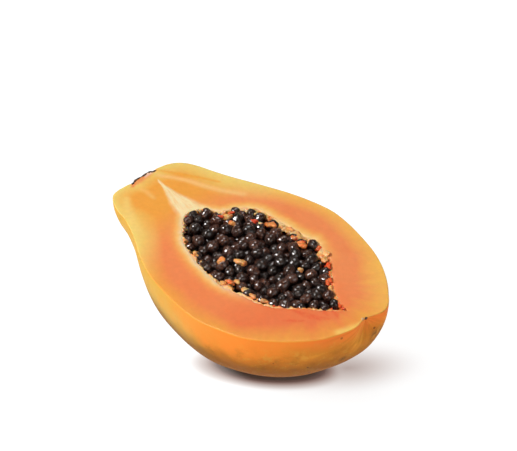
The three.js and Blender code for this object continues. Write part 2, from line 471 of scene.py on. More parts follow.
# Soft strokes drawn over the cut face: points in mm with half widths, from the stem to the blossom.
# Each is full out to its core, a share of its half width, and fades from there.
strokes = {
    "fan": (0.45, [(9.0, 4.0, 0.8), (15.5, 2.6, 1.4), (24.0, 0.6, 3.9), (32.0, -0.7, 7.0),
                   (38.0, -1.3, 8.6), (45.0, -1.6, 10.0)]),
    "pale": (0.0, [(5.4, 7.2, 3.0), (13.0, 11.6, 4.2), (21.0, 15.6, 4.6), (30.0, 18.0, 4.6),
                   (40, 22.0, 4.4), (50, 28, 4.4)]),
    "blushScar": (0.2, [(2.8, -8.2, 1.8), (2.0, -4.0, 3.4), (0.6, 2.0, 3.8), (-0.8, 7.6, 3.4)]),
    "scarPale": (0.1, [(-0.4, 8.0, 1.8), (0.2, 4.6, 2.2), (1.2, 1.0, 1.2)]),
    "streak": (0.2, [(0.4, 9.6, 1.6), (7.6, 13.6, 2.2), (15.6, 18.0, 2.4), (24, 22.4, 2.2),
                     (33, 26.6, 1.8)]),
    "glowPatch": (0.0, [(160.4, -2.4, 2.0), (160.8, -6.4, 4.2), (160.0, -11.0, 5.4), (157.6, -15.6, 4.2)]),
    "paleLeft": (0.0, [(10.0, -19.0, 4.0), (18.5, -25.0, 6.0), (26.0, -28.6, 6.5), (36.0, -33.0, 6.0)]),
    "neckPale": (0.0, [(8.0, -8.0, 2.6), (13.0, -7.4, 4.2), (20.0, -8.4, 3.0)]),
}
redMarks = [
    [(132.0, -19.8, 1.0), (137.0, -18.4, 2.2), (141.2, -16.9, 2.8), (145.3, -14.8, 2.2),
     (148.6, -12.0, 1.0)],
    [(141.4, -21.2, 0.8), (138.4, -24.6, 1.6), (134.6, -27.8, 0.8)],
    [(151.0, -8.8, 0.8), (148.4, -7.2, 2.0), (145.4, -6.8, 1.0)],
    [(146.6, -10.8, 0.8), (143.6, -10.0, 1.9), (139.8, -11.0, 0.8)],
    [(2.4, -6.6, 0.6), (3.2, -8.6, 1.5), (4.2, -10.4, 0.8)],
]


# How strongly a stroke marks a point: 1 along its line, fading to 0 at its half width.
def strokeWeight(core, stroke, x, y):
    best = 0.0
    for (ax, ay, aWidth), (bx, by, bWidth) in zip(stroke, stroke[1:]):
        dx, dy = bx - ax, by - ay
        share = min(max(((x - ax) * dx + (y - ay) * dy) / (dx * dx + dy * dy), 0), 1)
        away = math.hypot(x - ax - dx * share, y - ay - dy * share)
        best = max(best, 1 - smoothStep(core, 1.0, away / blendOf(aWidth, bWidth, share)))
    return best


# How deep a point lies in one of the folds that gather at the blossom end, from 0 to 1.
def creaseAt(row, across, up):
    fromStem, _, halfWidth, _ = row
    if fromStem < body["creaseFrom"]:
        return 0.0
    bend = noise.noise(Vector((halfWidth / body["creaseBendSize"], up, 3)))
    angle = math.degrees(math.atan2(up, across)) + body["creaseBend"] * bend
    near = 1 - smoothStep(0, body["creaseReach"], halfWidth)
    near *= smoothStep(0, body["creaseStart"], halfWidth)
    return near * sum(math.exp(-((angle - middle) / width) ** 2) for middle, width in body["creaseAngles"])


def skinPoint(row, across, up):
    fromStem, aside, halfWidth, _ = row
    point = roundPoint(fruit, row, across, up)
    lump = body["lumpHeight"] * (0.5 - 0.5 * hills(point, body["lumpSize"]))
    sink = body["creaseDepth"] * creaseAt(row, across, up)
    sink += lump * smoothStep(0, body["calmAtTips"], halfWidth)
    first, last = body["axisEnds"]
    axis = place(min(max(fromStem, first), last), aside)
    point += (axis - point).normalized() * sink * mm
    point.z = max(point.z, 0.0)
    return point


def lipPoint(row, side):
    point = roundPoint(cavity, row, side or 1, 0.0)
    rag = hills(point, body["lipRagSize"]) * body["lipRag"]
    rag += hills(point, body["lipTuftSize"]) * body["lipTuft"]
    return point, rag * smoothStep(0, body["lipCalm"], row[2])


def wallPoint(row, side, angle, rag, outward):
    point = roundPoint(cavity, row, (side or 1) * math.cos(angle), -math.sin(angle))
    below = (cutHeight - point.z) / mm
    return point + outward * rag * mm * (1 - smoothStep(0, body["wallRag"], below))


def ringLayers(bm):
    layers = bm.verts.layers
    return {name: layers.float.new(name) for name in
            ("fromSkin", "fromCavity", "wall", "red", "crease", "blot", *strokes)}


def makeBody(skin, flesh):
    fruitRows = evenRows(fruit, body["rows"])
    cavityRows = evenRows(cavity, body["rows"])
    bm = bmesh.new()
    bmesh.ops.create_uvsphere(bm, u_segments=body["sides"], v_segments=body["rows"], radius=1)
    layers = ringLayers(bm)
    rowLayer = bm.verts.layers.int.new("row")
    sideLayer = bm.verts.layers.int.new("side")
    aboveCut = [vert for vert in bm.verts if vert.co.y > body["levelWithin"]]
    bmesh.ops.delete(bm, geom=aboveCut, context="VERTS")
    for vert in bm.verts:
        row, across, up = placeOnBall(vert, body["rows"])
        up = 0.0 if abs(up) < body["levelWithin"] else up
        vert[rowLayer] = row
        vert[sideLayer] = round(math.copysign(1, across)) if 0 < row < body["rows"] else 0
        vert.co = skinPoint(fruitRows[row], across, up)
        vert[layers["crease"]] = creaseAt(fruitRows[row], across, up)
        spot = Vector(whereOnFruit(vert.co))
        apart = min((spot - Vector(middle)).length / size for *middle, size in body["blots"])
        vert[layers["blot"]] = 1 - smoothStep(body["blotCore"], 1.0, apart)
    rim = [edge for edge in bm.edges if edge.is_boundary]
    rimPlaces, lipPlaces = {}, {}
    for vert in {vert for edge in rim for vert in edge.verts}:
        key = vert[rowLayer], vert[sideLayer]
        rimPlaces[key] = vert.co.copy()
        lipPlaces[key] = lipPoint(cavityRows[key[0]], key[1])
        vert.co.z += body["rimRings"][0][1] * mm
    spokes = {}
    for key, rimPlace in rimPlaces.items():
        lipPlace, rag = lipPlaces[key]
        inward = (lipPlace - rimPlace).normalized()
        spokes[key] = rimPlace, inward, (lipPlace - rimPlace).length / mm + rag, rag

    def grow(edges, placeOf, materialIndex=1):
        grown = bmesh.ops.extrude_edge_only(bm, edges=edges)["geom"]
        for item in grown:
            if isinstance(item, bmesh.types.BMVert):
                item.co = placeOf(item[rowLayer], item[sideLayer])
            elif isinstance(item, bmesh.types.BMFace):
                item.material_index = materialIndex
        return [item for item in grown if isinstance(item, bmesh.types.BMEdge) and item.is_boundary]

    def facePlace(run, above):
        def placeOf(row, side):
            rimPlace, inward, length, _ = spokes[row, side]
            distance = run(length)
            point = rimPlace + inward * distance * mm
            wave = hills(point, body["faceWaveSize"]) * body["faceWave"]
            wave *= smoothStep(*body["calmAtRim"], distance)
            wave *= smoothStep(*body["calmAtLip"], length - distance)
            return Vector((point.x, point.y, cutHeight + (above + wave) * mm))
        return placeOf

    ring = rim
    for index, (inset, above) in enumerate(body["rimRings"][1:]):
        def fromRim(length, inset=inset):
            return min(inset, length * body["rimShare"])
        ring = grow(ring, facePlace(fromRim, above), min(index, 1))
    start, stop = body["rimRings"][-1][0], body["lipRings"][0][0]
    for step in range(1, body["faceRings"]):
        def onFace(length, share=step / body["faceRings"]):
            return blendOf(start, length - stop, share)
        ring = grow(ring, facePlace(onFace, 0))
    for inset, above in body["lipRings"]:
        def fromLip(length, inset=inset):
            return length - inset
        ring = grow(ring, facePlace(fromLip, above))
    for step in range(body["wallRings"] + 1):
        share = (step / body["wallRings"]) ** body["wallCrowd"]

        def onWall(row, side, angle=math.radians(blendOf(body["wallStart"], 90, share))):
            _, inward, _, rag = spokes[row, side]
            return wallPoint(cavityRows[row], side, angle, rag, inward)
        ring = grow(ring, onWall)
    closeUp(bm)
    paintFace(bm, layers, spokes)
    piece = addPiece("papayaFlesh", bm, [skin, flesh])
    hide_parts("fruit_half")


# Writes what the flesh's colours follow: distances from skin and cavity, and the strokes.
def paintFace(bm, layers, spokes):
    rimTree, lipTree = kdtree.KDTree(len(spokes)), kdtree.KDTree(len(spokes))
    for index, (rimPlace, inward, length, _) in enumerate(spokes.values()):
        rimTree.insert(rimPlace, index)
        lipTree.insert(rimPlace + inward * length * mm, index)
    rimTree.balance()
    lipTree.balance()
    fadeFrom, fadeTo = body["wallFade"]
    for vert in bm.verts:
        x, y, above = whereOnFruit(vert.co)
        level = Vector((vert.co.x, vert.co.y, cutHeight))
        vert[layers["fromSkin"]] = rimTree.find(level)[2] / mm
        vert[layers["fromCavity"]] = lipTree.find(level)[2] / mm
        insideCavity = vert[layers["fromSkin"]] > body["wallFromSkin"] and above < -fadeFrom
        vert[layers["wall"]] = smoothStep(fadeFrom, fadeTo, -above) if insideCavity else 0.0
        if above > -body["paintedDepth"]:
            for name, (core, stroke) in strokes.items():
                vert[layers[name]] = strokeWeight(core, stroke, x, y)
            vert[layers["red"]] = max(strokeWeight(body["redCore"], mark, x, y) for mark in redMarks)


# A look holds a material's colours, then the fields they follow and where each of them is laid, in mm.
fruitAxes = [("along", "X", restSpot["fromStem"]), ("aside", "Y", restSpot["aside"]), ("height", "Z", 0.0)]
fleshLook = {
    "salmon": (0.81, 0.222, 0.070), "salmonDeep": (0.79, 0.180, 0.056), "salmonPale": (0.84, 0.285, 0.098),
    "rim": (0.81, 0.33, 0.052), "rimFar": (0.87, 0.47, 0.088), "rimStem": (0.82, 0.60, 0.160),
    "neck": (0.83, 0.345, 0.051), "fan": (0.89, 0.72, 0.40), "pale": (0.90, 0.53, 0.20),
    "blushScar": (0.82, 0.27, 0.09), "scarPale": (0.90, 0.58, 0.44), "red": (0.76, 0.115, 0.035),
    "streak": (0.84, 0.33, 0.035), "glowPatch": (0.88, 0.58, 0.14), "paleLeft": (0.86, 0.58, 0.17),
    "neckPale": (0.88, 0.50, 0.15), "wall": (0.70, 0.16, 0.035), "wallPaintedShade": (0.42, 0.06, 0.015),
    "cream": [(0.0, (0.84, 0.62, 0.42)), (0.10, (0.85, 0.60, 0.35)), (0.2, (0.84, 0.54, 0.24)),
              (0.34, (0.87, 0.46, 0.13)), (0.55, (0.86, 0.36, 0.085)), (1.0, (0.84, 0.28, 0.070))],
    "creamFar": [(0.0, (0.88, 0.52, 0.22)), (0.16, (0.88, 0.53, 0.20)), (0.3, (0.87, 0.47, 0.13)),
                 (0.5, (0.86, 0.40, 0.095)), (0.72, (0.85, 0.33, 0.075)), (1.0, (0.84, 0.28, 0.070))],
    "axes": fruitAxes,
    "attributes": ("fromSkin", "fromCavity", "wall", "red", *strokes),
    "waves": {"broad": (13, 1.5), "small": (3.6, 2), "redPatch": (2.6, 3), "mottle": (2.4, 3, 0.55),
              "gloss": (2.2, 3), "grain": (0.8, 2, 0.5), "swell": (5.0, 2)},
    "spans": {"farSide": ("aside", -6, 22), "stemward": ("along", 95, 40)},
    "sums": {"paleness": {"farSide": 0.5, "stemward": 0.4, "broad": 1.4},
             "skinWavy": {"fromSkin": 1.0, "broad": 5.0}, "cavityWavy": {"fromCavity": 1.0, "small": 2.0},
             "acrossEnd": {"along": 1.0, "aside": -0.15}, "wallWavy": {"wall": 1.0, "small": 0.8}},
    "deepAlong": (100, 132), "deepAside": (6, -14),
    "middleWashes": [("salmonPale", 1.0, {"paleness": None}), ("salmonDeep", 1.0, {"deep": None}),
                     ("neck", 1.0, {"along": (58, 28)})],
    # The yellow band under the skin is wider towards both ends and on the far side.
    "bandWidth": [(75, 42, 8.5, 15.0), (34, 16, 0.0, -4.0), (124, 142, 0.0, 4.0)],
    "bandFar": (0.0, 1.0, 1.0, 1.25),
    "bandWashes": [("rimFar", 1.0, {"farSide": None}), ("rimStem", 1.0, {"along": (78, 40)})],
    "rays": {"middle": (126.0, -3.0), "drift": 0.004, "wave": (0.17, 3, 0.6)},
    "rayReach": (128, 146, 0.0, 14.0),
    "strands": {"middle": (4.0, 6.0), "drift": 0.006, "wave": (0.055, 2, 0.6)},
    "patches": {"pale": 0.75, "streak": 0.6, "glowPatch": 0.8, "paleLeft": 0.7, "neckPale": 0.6},
    "patchRag": 0.5, "creamWidth": 9.0,
    "creamMask": (1.0, {"cavityWavy": (9.0, 2.5), "acrossEnd": (126, 94)}),
    "markWashes": [("fan", 1.0, {"fan": None, "strands": (*waveSpan, 0.62, 1.12)}),
                   ("blushScar", 0.9, {"blushScar": None}), ("scarPale", 0.8, {"scarPale": None}),
                   ("red", 1.0, {"red": None, "redPatch": (*waveSpan, 0.3, 0.9)})],
    "mottling": (*waveSpan, 0.975, 1.02),
    "wallShadeDepth": (52.0, 44.0), "wallMask": (1.0, {"wallWavy": (0.15, 0.85)}),
    "relief": [("grain", 0.15, 0.08), ("strandRelief", 0.5, 0.3), ("swell", 0.3, 0.3)],
    "roughness": (0.36, 0.50),
    "sockets": {"Subsurface Weight": 0.25, "Subsurface Radius": (1.0, 0.4, 0.16),
                "Subsurface Scale": 2.2 * mm, "Specular IOR Level": 0.3},
}


def fleshMaterial():
    look = fleshLook
    material, tree, shader = newMaterial("papayaFlesh")
    fields = fieldsOf(tree, look)
    along, aside, farSide, broad = (fields[name] for name in ("along", "aside", "farSide", "broad"))

    # The pinkish middle of the flesh
    deepAlong = rangeOf(tree, along, *look["deepAlong"])
    fields["deep"] = calc(tree, "MULTIPLY_ADD", deepAlong, rangeOf(tree, aside, *look["deepAside"]), broad)
    color = washOver(tree, look["salmon"], fields, look["middleWashes"], look)

    # The band under the skin, with rays round the blossom end
    bandWidth = 0.0
    for span in look["bandWidth"]:
        bandWidth = calc(tree, "ADD", bandWidth, rangeOf(tree, along, *span))
    bandWidth = calc(tree, "MULTIPLY", bandWidth, rangeOf(tree, farSide, *look["bandFar"]))
    ray = raysFrom(tree, "ARCTAN2", fields, look["rays"])
    reach = rangeOf(tree, along, *look["rayReach"])
    fromSkin = calc(tree, "MULTIPLY_ADD", ray, reach, fields["skinWavy"])
    band = rangeOf(tree, calc(tree, "DIVIDE", fromSkin, bandWidth), 1.0, 0.0, ease="LINEAR")
    color = mixOf(tree, band, color, washOver(tree, look["rim"], fields, look["bandWashes"], look))

    # Pale patches, the cream edge of the cavity, strands from the stem and red marks
    fields["strands"] = raysFrom(tree, "DIVIDE", fields, look["strands"])
    for name, amount in look["patches"].items():
        share = calc(tree, "MULTIPLY_ADD", broad, look["patchRag"], fields[name])
        share = calc(tree, "MULTIPLY", calc(tree, "MULTIPLY", share, fields[name]), amount)
        color = mixOf(tree, share, color, look[name])
    creamAt = calc(tree, "DIVIDE", fields["cavityWavy"], look["creamWidth"])
    cream = [rampOf(tree, creamAt, look[name]) for name in ("cream", "creamFar")]
    cream = mixOf(tree, farSide, *cream)
    color = mixOf(tree, maskOf(tree, fields, *look["creamMask"]), color, cream)
    color = washOver(tree, color, fields, look["markWashes"], look)
    color = mixOf(tree, 1.0, color, rangeOf(tree, fields["mottle"], *look["mottling"]), "MULTIPLY")

    # Painted shade: the cavity wall darkens deeper down
    wallShadeDepth = rangeOf(tree, fields["height"], *look["wallShadeDepth"])
    wallColor = mixOf(tree, wallShadeDepth, look["wall"], look["wallPaintedShade"])
    color = mixOf(tree, maskOf(tree, fields, *look["wallMask"]), color, wallColor)
    fullStrands = calc(tree, "ADD", fields["strands"], 0.5)
    fields["strandRelief"] = calc(tree, "MULTIPLY", fullStrands, fields["fan"])
    finishShader(tree, shader, color, fields, look)
    return material


skinLook = {
    "belly": (0.80, 0.305, 0.052), "bellyBlossom": (0.94, 0.260, 0.036), "stem": (0.67, 0.370, 0.056),
    "lower": (0.76, 0.240, 0.022), "green": (0.66, 0.45, 0.110), "bottom": (0.20, 0.070, 0.011),
    "olive": (0.22, 0.115, 0.016), "fold": (0.52, 0.16, 0.014), "blossom": (0.70, 0.240, 0.028),
    "flush": (1.0, 0.235, 0.040), "speck": (0.07, 0.030, 0.012), "blot": (0.10, 0.055, 0.030),
    "pore": (0.92, 0.44, 0.06), "edge": (0.82, 0.38, 0.060), "ochre": (0.80, 0.40, 0.060),
    "ray": (0.95, 0.40, 0.050), "dullRay": (0.46, 0.150, 0.016),
    "axes": fruitAxes,
    "attributes": ("crease", "blot"),
    "waves": {"broad": (24, 2, 0.5), "small": (6, 4, 0.6), "patch": (7, 4, 0.6), "ochre": (4.2, 4, 0.65),
              "gloss": (3, 4), "peel": (0.9, 3, 0.6), "swell": (8, 3)},
    "spans": {"tipward": ("along", 118, 154)},
    "sums": {"alongWavy": {"along": 1.0, "broad": 40},
             "heightWavy": {"height": 1.0, "broad": 14, "small": 7},
             "paintedShadeHeight": {"height": 1.0, "small": 6, "broad": 9},
             "blotches": {"patch": 1.0, "tipward": 0.05}},
    "poreSize": 1.9, "speckSize": 11.0, "rayDrift": 0.02, "rayWave": (0.34, 2, 0.6),
    "washes": [
        # Orange over the belly, yellow towards the stem, greener lower down, and painted shade darker lower
        # down
        ("bellyBlossom", 1.0, {"alongWavy": (98, 136)}), ("stem", 1.0, {"alongWavy": (106, 62)}),
        ("lower", 0.8, {"heightWavy": (54, 34)}),
        ("green", 0.75, {"alongWavy": (122, 88), "heightWavy": (55, 38)}),
        # Around the blossom end: red just under the cut and dull orange below, partly the skin's own colour
        # and partly painted light and shade; blotches and rays below
        ("blossom", 1.0, {"alongWavy": (136, 156), "heightWavy": (56, 46)}),
        ("flush", 0.9, {"along": (146, 156), "height": (44, 54)}),
        ("olive", 0.45, {"blotches": (0.02, 0.30), "heightWavy": (52, 38)}),
        ("ochre", 0.5, {"ochre": (0.0, 0.18), "heightWavy": (55, 42), "along": (100, 140)}),
        ("ray", 0.6, {"rays": (0.0, 0.2), "along": (144, 156)}),
        ("dullRay", 0.38, {"rays": (0.0, -0.2), "along": (144, 156)}),
        # Painted shade: the folds at the blossom end are coloured darker
        ("fold", 1.0, {"crease": None, "small": (-0.12, 0.12, 0.05, 0.35)}),
        ("blot", 0.85, {"blot": None, "small": (-0.1, 0.08, 0.25, 1.0)}),
        # Painted shade: the skin darkens towards the bottom
        ("bottom", 0.82, {"paintedShadeHeight": (47, 30)}),
        # Pores, dark specks, and a paler line along the cut edge: partly the skin's thin yellow layer,
        # partly a painted highlight where the edge catches the light
        ("pore", 0.16, {"pores": (0.22, 0.08)}),
        ("speck", 0.8, {"specks": (0.08, 0.04), "heightWavy": (56, 46)}),
        ("edge", 0.7, {"height": (cutHeight / mm - 1.0, cutHeight / mm - 0.2)}),
    ],
    "relief": [("peel", 0.2, 0.12), ("pores", 0.12, 0.1), ("swell", 0.35, 0.8)],
    "roughness": (0.53, 0.68),
    "sockets": {"Subsurface Weight": 0.12, "Subsurface Radius": (1.0, 0.4, 0.16),
                "Subsurface Scale": 1.5 * mm, "Specular IOR Level": 0.03},
}


def skinMaterial():
    look = skinLook
    material, tree, shader = newMaterial("papayaSkin")
    fields = fieldsOf(tree, look)
    below = calc(tree, "SUBTRACT", cutHeight / mm, fields["height"])
    angle = calc(tree, "ARCTAN2", fields["aside"], below)
    fields["rays"] = raysOf(tree, angle, calc(tree, "MULTIPLY", below, look["rayDrift"]), *look["rayWave"])
    fields["pores"] = cellsOf(tree, fields["position"], look["poreSize"])
    fields["specks"] = cellsOf(tree, fields["position"], look["speckSize"])
    color = washOver(tree, look["belly"], fields, look["washes"], look)
    finishShader(tree, shader, color, fields, look)
    return material


makeBody(skinMaterial(), fleshMaterial())


# Seeds lie where a rule puts them: on a loose honeycomb over the cavity, pushed apart until they lie
# side by side. The solids follow the same rule. Here the seeds are a little slimmer ("trim") and lie lower
# beside the wall ("edgeDrop").
seeds = {
    "halfAxes": (3.35, 2.8, 2.65), "halfWidth": 2.8, "sizeSpread": 0.2, "endSize": 0.66, "endReach": 26,
    "crowded": 0.86, "pitch": 5.25, "jitter": 1.6, "wallGap": 0.2, "endGap": 1.7, "below": 1.5,
    "liftSpread": 1.5, "liftLowest": -2.4, "trim": 0.95, "bedBelow": 2.5, "rooted": 0.8,
    "edgeDrop": 1.6, "firstDraw": 20, "tiltSpread": 0.7, "passes": 60, "countTrim": 0.35, "rowShift": 0.25,
    "fineness": 3, "wrinkle": 0.34, "wrinkleSize": 1.9, "lump": 0.5, "lumpSize": 3.2, "taper": 0.09,
    "nextLump": 7.3, "nextWrinkle": 5.1, "firstTone": 41, "nearest": 1e-6, "edgeCurve": 3,
}
honeycomb = math.sqrt(0.75)  # how far apart its rows stand, for a pitch of 1


def cavityAt(fromStem):
    stations = cavity["stations"]
    i = 0
    while i < len(stations) - 2 and stations[i + 1][0] <= fromStem:
        i += 1
    (x0, middle0, half0, _), (x1, middle1, half1, _) = stations[i], stations[i + 1]
    share = min(max((fromStem - x0) / (x1 - x0), 0), 1)
    return middle0 + (middle1 - middle0) * share, half0 + (half1 - half0) * share


def keepInside(one):
    reach = one["size"] * seeds["halfWidth"] + seeds["wallGap"]
    firstX = cavity["stations"][0][0] + reach
    lastX = cavity["stations"][-1][0] - reach * seeds["endGap"]
    one["x"] = min(max(one["x"], firstX), lastX)
    middle, half = cavityAt(one["x"])
    room = max(half - reach, 0)
    one["y"] = min(max(one["y"], middle - room), middle + room)
    highest = seeds["below"] - seeds["bedBelow"] + one["size"] * seeds["halfAxes"][2] * seeds["rooted"]
    one["lift"] = min(max(one["lift"], seeds["liftLowest"]), highest)


def nearness(one, other):
    touching = (one["size"] + other["size"]) * seeds["halfWidth"]
    return math.hypot(other["x"] - one["x"], other["y"] - one["y"], other["lift"] - one["lift"]) / touching


def pushApart(places):
    for i, one in enumerate(places):
        for other in places[i + 1:]:
            near = nearness(one, other) + seeds["nearest"]
            push = max(1 - near, 0) / 2 / near
            for axis in ("x", "y", "lift"):
                step = (other[axis] - one[axis]) * push
                one[axis] -= step
                other[axis] += step


def seedPlaces():
    draws = seededDraws(seeds["firstDraw"])
    first, last = cavity["stations"][0][0], cavity["stations"][-1][0]
    pitch, jitter = seeds["pitch"], seeds["jitter"]
    rowPitch = pitch * honeycomb
    places = []
    for row in range(math.floor((last - first) / rowPitch)):
        x = first + (row + 0.5) * rowPitch
        middle, half = cavityAt(x)
        count = max(math.floor(2 * half / pitch - seeds["countTrim"] + 0.5), 1)
        shift = seeds["rowShift"] if row % 2 else -seeds["rowShift"]
        for i in range(count):
            one = {"x": x + eitherWay(draws, jitter)}
            one["y"] = middle + (i - (count - 1) / 2 + shift) * pitch + eitherWay(draws, jitter)
            one["size"] = 1 + eitherWay(draws, seeds["sizeSpread"])
            one["size"] *= min(1, seeds["endSize"] + half / seeds["endReach"])
            one["lift"] = eitherWay(draws, seeds["liftSpread"])
            one["heading"] = next(draws) * math.pi
            one["tilt"] = eitherWay(draws, seeds["tiltSpread"])
            places.append(one)
    for _ in range(seeds["passes"]):
        pushApart(places)
        for one in places:
            keepInside(one)
    return [one for i, one in enumerate(places)
            if all(nearness(one, other) > seeds["crowded"] for other in places[:i])]


# One seed: an egg with shallow lumps and lengthwise wrinkles.
def addSeed(bm, toneLayer, middle, size, turn, tone, fineness, key):
    made = bmesh.ops.create_icosphere(bm, subdivisions=fineness, radius=1)["verts"]
    turnMatrix = turn.to_matrix()
    length, width, _ = seeds["halfAxes"]
    halfAxes = Vector(seeds["halfAxes"]) * size * seeds["trim"]
    for vert in made:
        way = vert.co.copy()
        taper = 1 - seeds["taper"] * way.x
        lump = noise.noise(way * length / seeds["lumpSize"] + Vector((key * seeds["nextLump"], 0, 0)))
        fold = noise.noise(way * length / seeds["wrinkleSize"] + Vector((0, key * seeds["nextWrinkle"], 0)))
        bulge = 1 + (seeds["lump"] * lump - seeds["wrinkle"] * abs(fold)) / width
        shaped = Vector((way.x * halfAxes.x, way.y * halfAxes.y * taper, way.z * halfAxes.z * taper))
        vert.co = middle + turnMatrix @ (shaped * bulge) * mm
        vert[toneLayer] = tone


def seedMiddle(one):
    middle, half = cavityAt(one["x"])
    edge = min(abs(one["y"] - middle) / max(half, 1), 1)
    drop = seeds["below"] + seeds["edgeDrop"] * edge ** seeds["edgeCurve"]
    return place(one["x"], one["y"], one["lift"] - drop)


def makeSeeds(material):
    bm = bmesh.new()
    tone = bm.verts.layers.float.new("tone")
    tones = seededDraws(seeds["firstTone"])
    for key, one in enumerate(seedPlaces()):
        turn = Euler((0, one["tilt"], one["heading"]))
        addSeed(bm, tone, seedMiddle(one), one["size"], turn, next(tones), seeds["fineness"], key)
    piece = addPiece("papayaSeeds", bm, [material])
    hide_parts("seeds")


lowerSeeds = {
    "pitch": 5.5, "jitter": 0.9, "below": 6.4, "heightSpread": 1.0, "fineness": 2, "firstDraw": 7,
    "clear": 3.6, "size": 0.95, "sizeSpread": 0.08, "toneTop": 0.35, "looseTilt": 0.6, "looseToneTop": 0.5,
    "turn": 3,  # radians either way
    "loose": [(45.4, -3.2, 0.0, 0.90), (58.2, 14.9, -1.2, 0.96), (64.6, 19.9, -1.3, 0.92),
              (106.0, 22.6, 0.0, 0.98)],
}


# A second layer under the first, seen only between its seeds.
def makeLowerSeeds(material):
    bm = bmesh.new()
    tone = bm.verts.layers.float.new("tone")
    draws = seededDraws(lowerSeeds["firstDraw"])
    first, last = cavity["stations"][0][0], cavity["stations"][-1][0]
    pitch, jitter = lowerSeeds["pitch"], lowerSeeds["jitter"]
    rowPitch = pitch * honeycomb
    count = 0
    for row in range(1, math.floor((last - first) / rowPitch)):
        x = first + row * rowPitch
        middle, half = cavityAt(x)
        room = half - lowerSeeds["clear"]
        steps = math.floor(room / pitch) if room > 0 else -1
        for i in range(-steps, steps + 1):
            y = middle + (i + 0.5 * (row % 2)) * pitch
            if abs(y - middle) > room:
                continue
            spot = place(x + eitherWay(draws, jitter), y + eitherWay(draws, jitter),
                         eitherWay(draws, lowerSeeds["heightSpread"]) - lowerSeeds["below"])
            turn = Euler((eitherWay(draws), eitherWay(draws), eitherWay(draws, lowerSeeds["turn"])))
            size = lowerSeeds["size"] + eitherWay(draws, lowerSeeds["sizeSpread"])
            addSeed(bm, tone, spot, size, turn, next(draws) * lowerSeeds["toneTop"],
                    lowerSeeds["fineness"], count)
            count += 1
    for *spot, size in lowerSeeds["loose"]:  # and a few lying over the lip
        turn = Euler((0, eitherWay(draws, lowerSeeds["looseTilt"]), eitherWay(draws, lowerSeeds["turn"])))
        addSeed(bm, tone, place(*spot), size, turn, next(draws) * lowerSeeds["looseToneTop"],
                seeds["fineness"], count)
        count += 1
    addPiece("papayaSeedsLower", bm, [material])


seedBed = {"rows": 60, "sides": 48, "inset": 0.5, "below": 8.5, "tone": 0.1}


# Seeds fill the cavity to its bottom: below the ones that show, they are one dark bed.
def makeSeedBed(material):
    bm = bmesh.new()
    bmesh.ops.create_uvsphere(bm, u_segments=seedBed["sides"], v_segments=seedBed["rows"], radius=1)
    tone = bm.verts.layers.float.new("tone")
    rows = evenRows(cavity, seedBed["rows"])
    for vert in bm.verts:
        row, across, up = placeOnBall(vert, seedBed["rows"])
        vert.co = roundPoint(cavity, rows[row], across, up, seedBed["inset"])
        vert[tone] = seedBed["tone"]
    middle = Vector((0, 0, cutHeight - seedBed["below"] * mm))
    cut = bmesh.ops.bisect_plane(bm, geom=bm.verts[:] + bm.edges[:] + bm.faces[:], dist=meetWithin,
                                 plane_co=middle, plane_no=(0, 0, 1), clear_outer=True)
    loop = [item for item in cut["geom_cut"] if isinstance(item, bmesh.types.BMEdge)]
    bmesh.ops.contextual_create(bm, geom=loop)
    addPiece("papayaSeedBed", bm, [material])


seedLook = {
    "dark": (0.003, 0.0013, 0.0010), "brown": (0.046, 0.0115, 0.0060), "tanAndSheen": (0.36, 0.15, 0.08),
    "attributes": ("tone",),
    "waves": {"patch": (2.2, 3, 0.6), "fleck": (0.8, 3, 0.7), "gloss": (2.4, 2), "fine": (0.55, 2, 0.6),
              "wrinkle": (1.5, 1.5, 0.5, 0.6), "film": (1.2, 1, 0.5)},
    "sums": {"browning": {"patch": 1.0, "tone": 0.6}},
    "washes": [("brown", 1.0, {"browning": (0.05, 0.65)}),
               # Tan flecks: partly the seed coat's own brown patches, partly painted sheen of wrinkles
               # catching the light
               ("tanAndSheen", 0.8, {"fleck": (0.02, 0.18), "tone": (0.1, 1.0, 0.15, 1.0)})],
    "relief": [("folds", 1.0, 1.6), ("fine", 0.6, 0.25)],
    "filmRelief": [("film", 0.45, 0.4)],  # the wet film evens the folds out
    "roughness": (0.28, 0.52),
    "sockets": {"Specular IOR Level": 0.35, "Specular Tint": (1.0, 0.76, 0.66), "Coat Weight": 1.0,
                "Coat Roughness": 0.15, "Coat IOR": 1.62},
}


def seedMaterial():
    look = seedLook
    material, tree, shader = newMaterial("papayaSeedCoat")
    fields = fieldsOf(tree, look)
    fields["folds"] = calc(tree, "ABSOLUTE", fields["wrinkle"])
    color = washOver(tree, look["dark"], fields, look["washes"], look)
    finishShader(tree, shader, color, fields, look)
    tree.links.new(reliefOf(tree, fields, look["filmRelief"]), shader.inputs["Coat Normal"])
    return material


seedCoat = seedMaterial()
makeSeeds(seedCoat)
makeLowerSeeds(seedCoat)
makeSeedBed(seedCoat)

